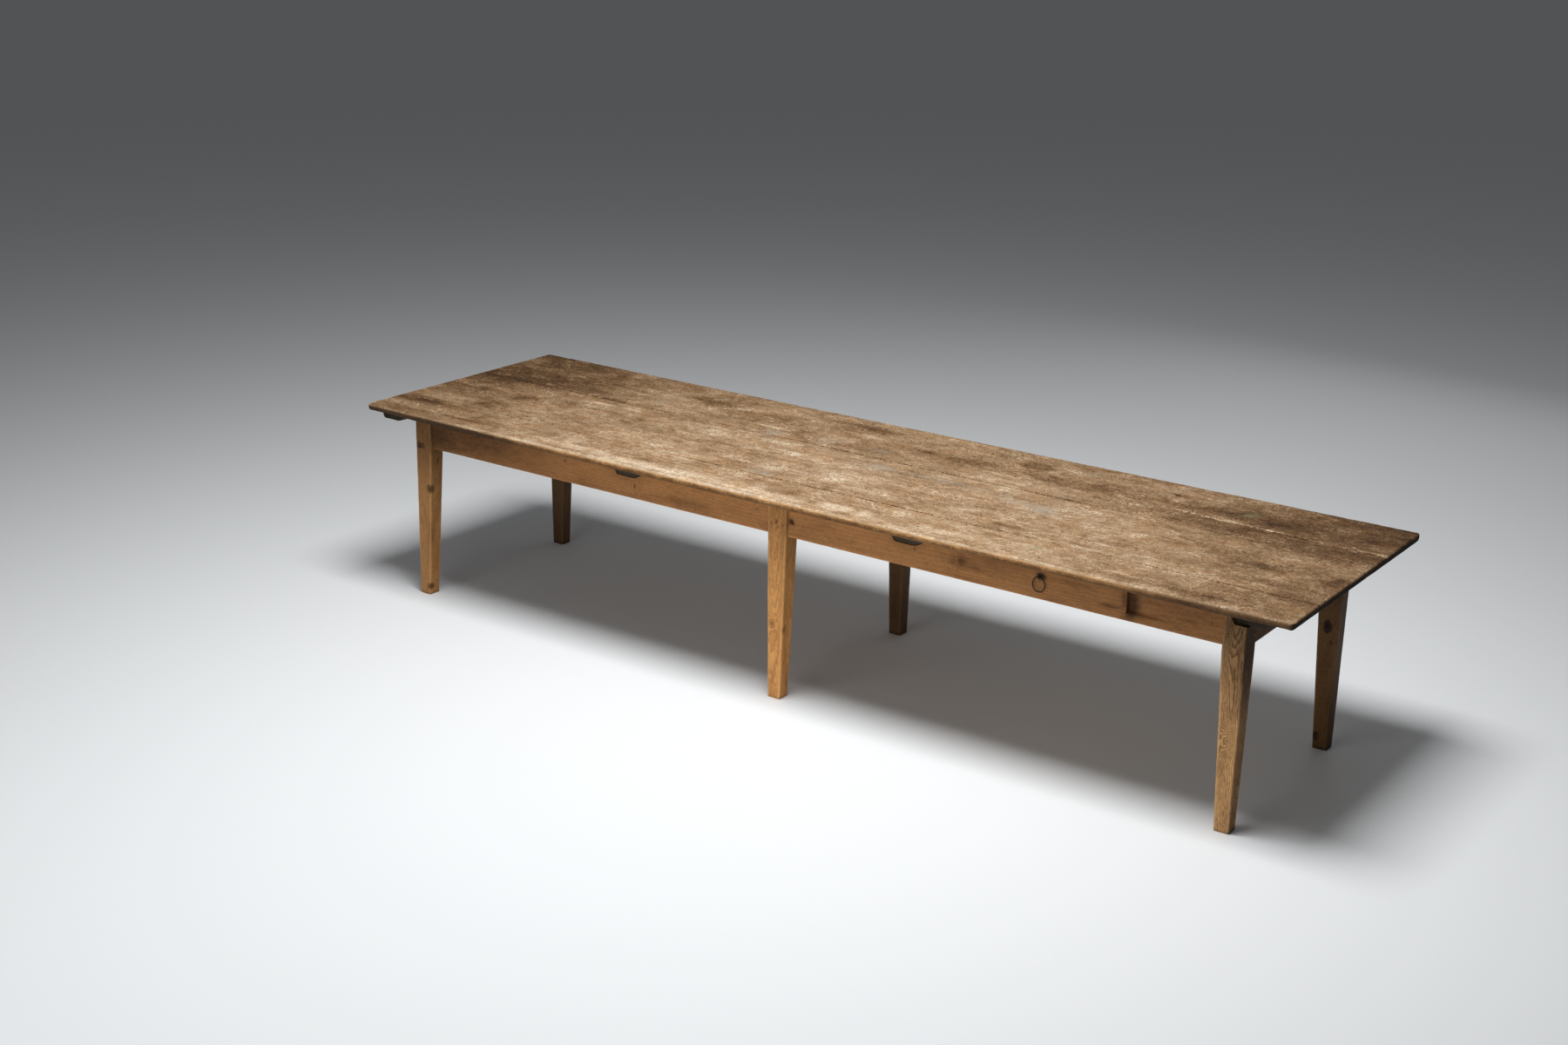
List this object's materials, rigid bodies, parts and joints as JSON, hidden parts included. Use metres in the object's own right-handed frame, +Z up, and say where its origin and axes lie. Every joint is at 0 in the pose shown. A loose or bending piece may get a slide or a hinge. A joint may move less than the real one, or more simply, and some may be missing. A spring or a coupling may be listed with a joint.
{
  "type": "refectory table",
  "caption": "Long plank-topped refectory table on tapered square legs, with pegged aprons, cross battens under the top and a sliding drawer with a swinging iron ring pull.",
  "frame": {"origin": "on the floor, below the centre of the top's outline", "axes": "+X along the top, to the right for somebody facing the drawer; +Y from the drawer side to the back; +Z up"},
  "size_m": [3.934, 1.096, 0.76],
  "materials": {
    "top_wood": "dry scrubbed",
    "frame_wood": "old waxed",
    "batten_wood": "dark aged",
    "peg_wood": "old waxed",
    "drawer_wood": "bare",
    "iron": "forged, rusted",
    "steel": "dull"
  },
  "bodies": {
    "frame": {"front_board": "top_wood", "middle_board": "top_wood", "back_board": "top_wood", "left_end_batten": "batten_wood", "left_batten": "batten_wood", "right_batten": "batten_wood", "right_end_batten": "batten_wood", "front_left_leg": "frame_wood", "back_left_leg": "frame_wood", "front_middle_leg": "frame_wood", "back_middle_leg": "frame_wood", "front_right_leg": "frame_wood", "back_right_leg": "frame_wood", "front_apron_left": "frame_wood", "front_apron_right": "frame_wood", "back_apron_left": "frame_wood", "back_apron_right": "frame_wood", "left_end_apron": "frame_wood", "cross_rail": "frame_wood", "right_end_apron": "frame_wood", "front_pegs": "peg_wood", "back_pegs": "peg_wood", "end_apron_pegs": "peg_wood", "cross_rail_pegs": "peg_wood", "left_runner": "drawer_wood", "right_runner": "drawer_wood", "drawer_stops": "drawer_wood", "batten_screws": "steel"},
    "drawer": {"drawer_front": "frame_wood", "drawer_left_side": "drawer_wood", "drawer_right_side": "drawer_wood", "drawer_back": "drawer_wood", "drawer_bottom": "drawer_wood", "drawer_nails": "steel", "ring_staple": "iron", "ring_plate": "iron"},
    "ring": {"pull_ring": "iron"}
  },
  "joints": [
    {"name": "drawer_slide", "type": "slide", "parent": "frame", "child": "drawer", "axis": [0, -1, 0], "range_m": [0, 0.4]},
    {"name": "ring_swing", "type": "hinge", "parent": "drawer", "child": "ring", "pos_m": [1.086, -0.515, 0.699], "axis": [-1, 0, 0], "range_deg": [0, 110]}
  ]
}
